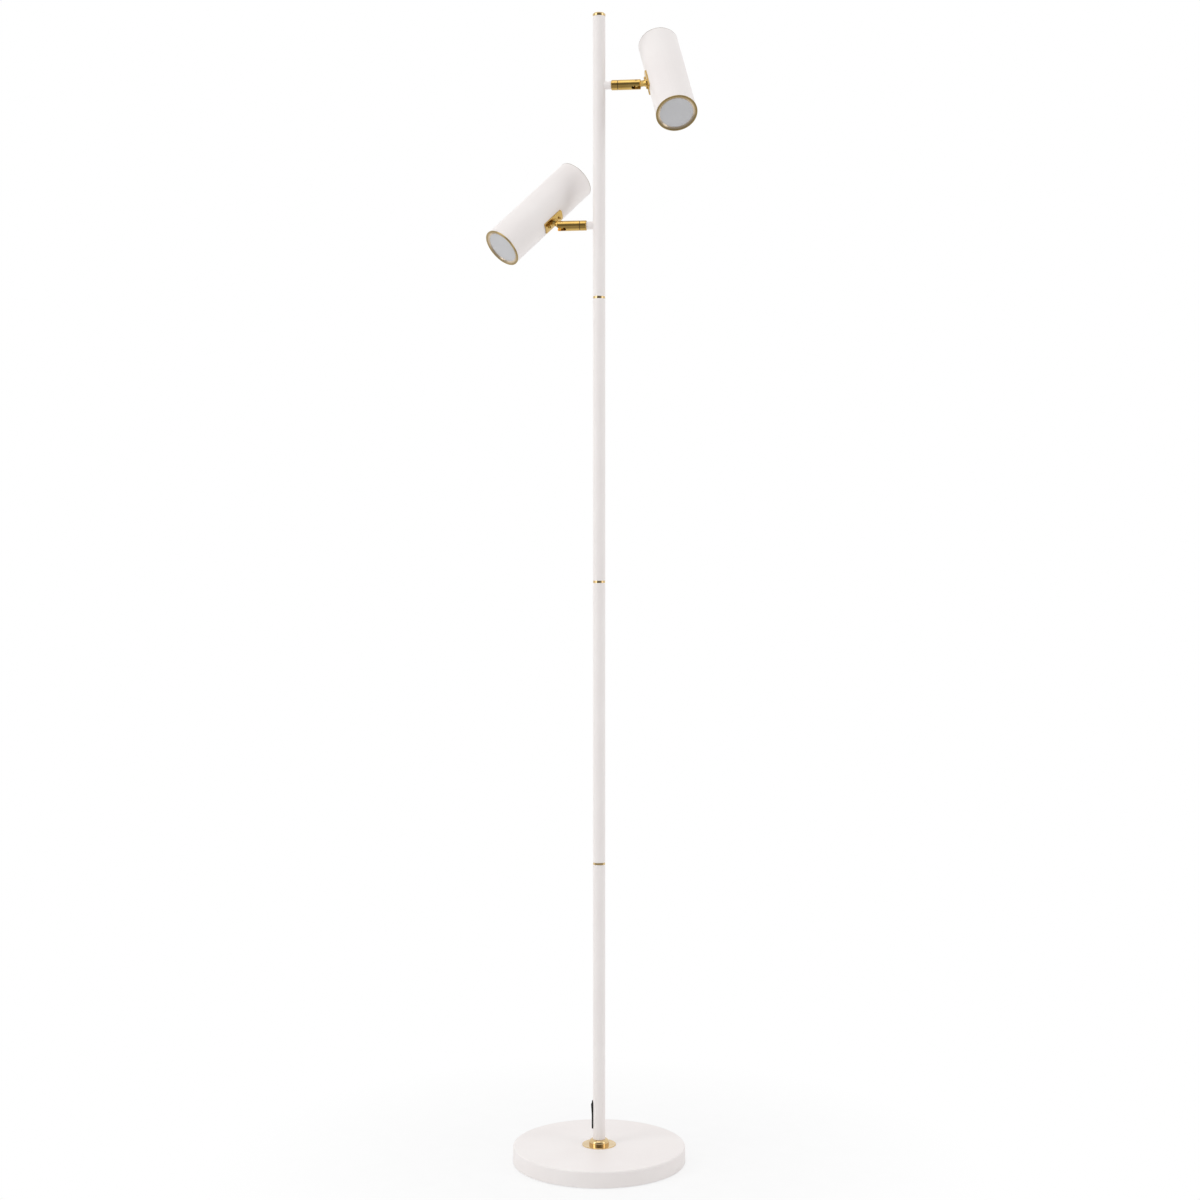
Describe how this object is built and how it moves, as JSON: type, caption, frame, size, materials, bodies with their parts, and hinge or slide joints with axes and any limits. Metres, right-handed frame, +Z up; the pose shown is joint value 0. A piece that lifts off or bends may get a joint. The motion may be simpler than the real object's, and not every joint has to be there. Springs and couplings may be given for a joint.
{
  "type": "floor lamp with two adjustable spotlights",
  "caption": "Free-standing floor lamp: round weighted base, slim sectioned pole with brass rings, and cylindrical spotlights on swivel and tilt arms.",
  "frame": {"origin": "on the floor, under the middle of the pole and the round base", "axes": "+Z up the pole; +X along the upper arm; -X along the lower arm; -Y is the front"},
  "size_m": [0.274, 0.2255, 1.4814],
  "materials": {
    "white_powder": "white powder coat, satin, very fine texture",
    "brass": "turned and lightly brushed brass, lacquered",
    "cast_iron": "as cast, primed",
    "pad_rubber": "smooth foam rubber",
    "zinc_steel": "zinc plated",
    "black_plastic": "moulded, satin black",
    "washer_nylon": "plain nylon",
    "lead_sleeve": "PVC sleeve",
    "diffuser_opal": "opal acrylic, unlit, fine frosted face",
    "reflector_aluminium": "bright spun",
    "bare_aluminium": "machined, bare",
    "board_white": "white solder mask",
    "driver_case": "moulded"
  },
  "bodies": {
    "stand": {"base_cover": "white_powder", "base_weight": "cast_iron", "foot_pad": "pad_rubber", "base_flange": "brass", "pole_socket": "zinc_steel", "base_nipple": "zinc_steel", "base_washer": "zinc_steel", "base_nut": "zinc_steel", "cord_gland": "black_plastic", "pole_tube_1": "white_powder", "pole_tube_2": "white_powder", "pole_tube_3": "white_powder", "pole_tube_4": "white_powder", "pole_ring_1": "brass", "pole_ring_2": "brass", "pole_ring_3": "brass", "top_cap": "brass", "pole_lead": "lead_sleeve", "switch_housing": "black_plastic", "upper_stub": "white_powder", "upper_collar": "brass", "upper_nipple": "zinc_steel", "lower_stub": "white_powder", "lower_collar": "brass", "lower_nipple": "zinc_steel", "pole_nuts": "zinc_steel", "swivel_nuts": "zinc_steel", "swivel_washers": "washer_nylon"},
    "upper_fork": {"upper_barrel": "brass", "upper_pivot_pin": "brass"},
    "upper_head": {"upper_knuckle": "brass", "upper_knuckle_nut": "zinc_steel", "upper_saddle_plate": "brass", "upper_saddle_screws": "brass", "upper_housing": "white_powder", "upper_rear_ring": "brass", "upper_rear_cap": "white_powder", "upper_bezel": "brass", "upper_diffuser": "diffuser_opal", "upper_reflector": "reflector_aluminium", "upper_led_board": "board_white", "upper_heat_sink": "bare_aluminium", "upper_driver": "driver_case"},
    "lower_fork": {"lower_barrel": "brass", "lower_pivot_pin": "brass"},
    "lower_head": {"lower_knuckle": "brass", "lower_knuckle_nut": "zinc_steel", "lower_saddle_plate": "brass", "lower_saddle_screws": "brass", "lower_housing": "white_powder", "lower_rear_ring": "brass", "lower_rear_cap": "white_powder", "lower_bezel": "brass", "lower_diffuser": "diffuser_opal", "lower_reflector": "reflector_aluminium", "lower_led_board": "board_white", "lower_heat_sink": "bare_aluminium", "lower_driver": "driver_case"},
    "rocker": {"switch_rocker": "black_plastic"}
  },
  "joints": [
    {"name": "upper_swivel", "type": "hinge", "parent": "stand", "child": "upper_fork", "pos_m": [0.0245, 0, 1.3895], "axis": [1, 0, 0], "range_deg": [-129, 211]},
    {"name": "upper_tilt", "type": "hinge", "parent": "upper_fork", "child": "upper_head", "pos_m": [0.0483, 0, 1.3895], "axis": [0, -0.7547, 0.6561], "range_deg": [-51, 25]},
    {"name": "lower_swivel", "type": "hinge", "parent": "stand", "child": "lower_fork", "pos_m": [-0.0245, 0, 1.2118], "axis": [1, 0, 0], "range_deg": [-132.5, 207.5]},
    {"name": "lower_tilt", "type": "hinge", "parent": "lower_fork", "child": "lower_head", "pos_m": [-0.0483, 0, 1.2118], "axis": [0, 0.7934, -0.6088], "range_deg": [-72, 4]},
    {"name": "switch_rock", "type": "hinge", "parent": "stand", "child": "rocker", "pos_m": [-0.007, 0, 0.0605], "axis": [0, 1, 0], "range_deg": [0, 6]}
  ]
}
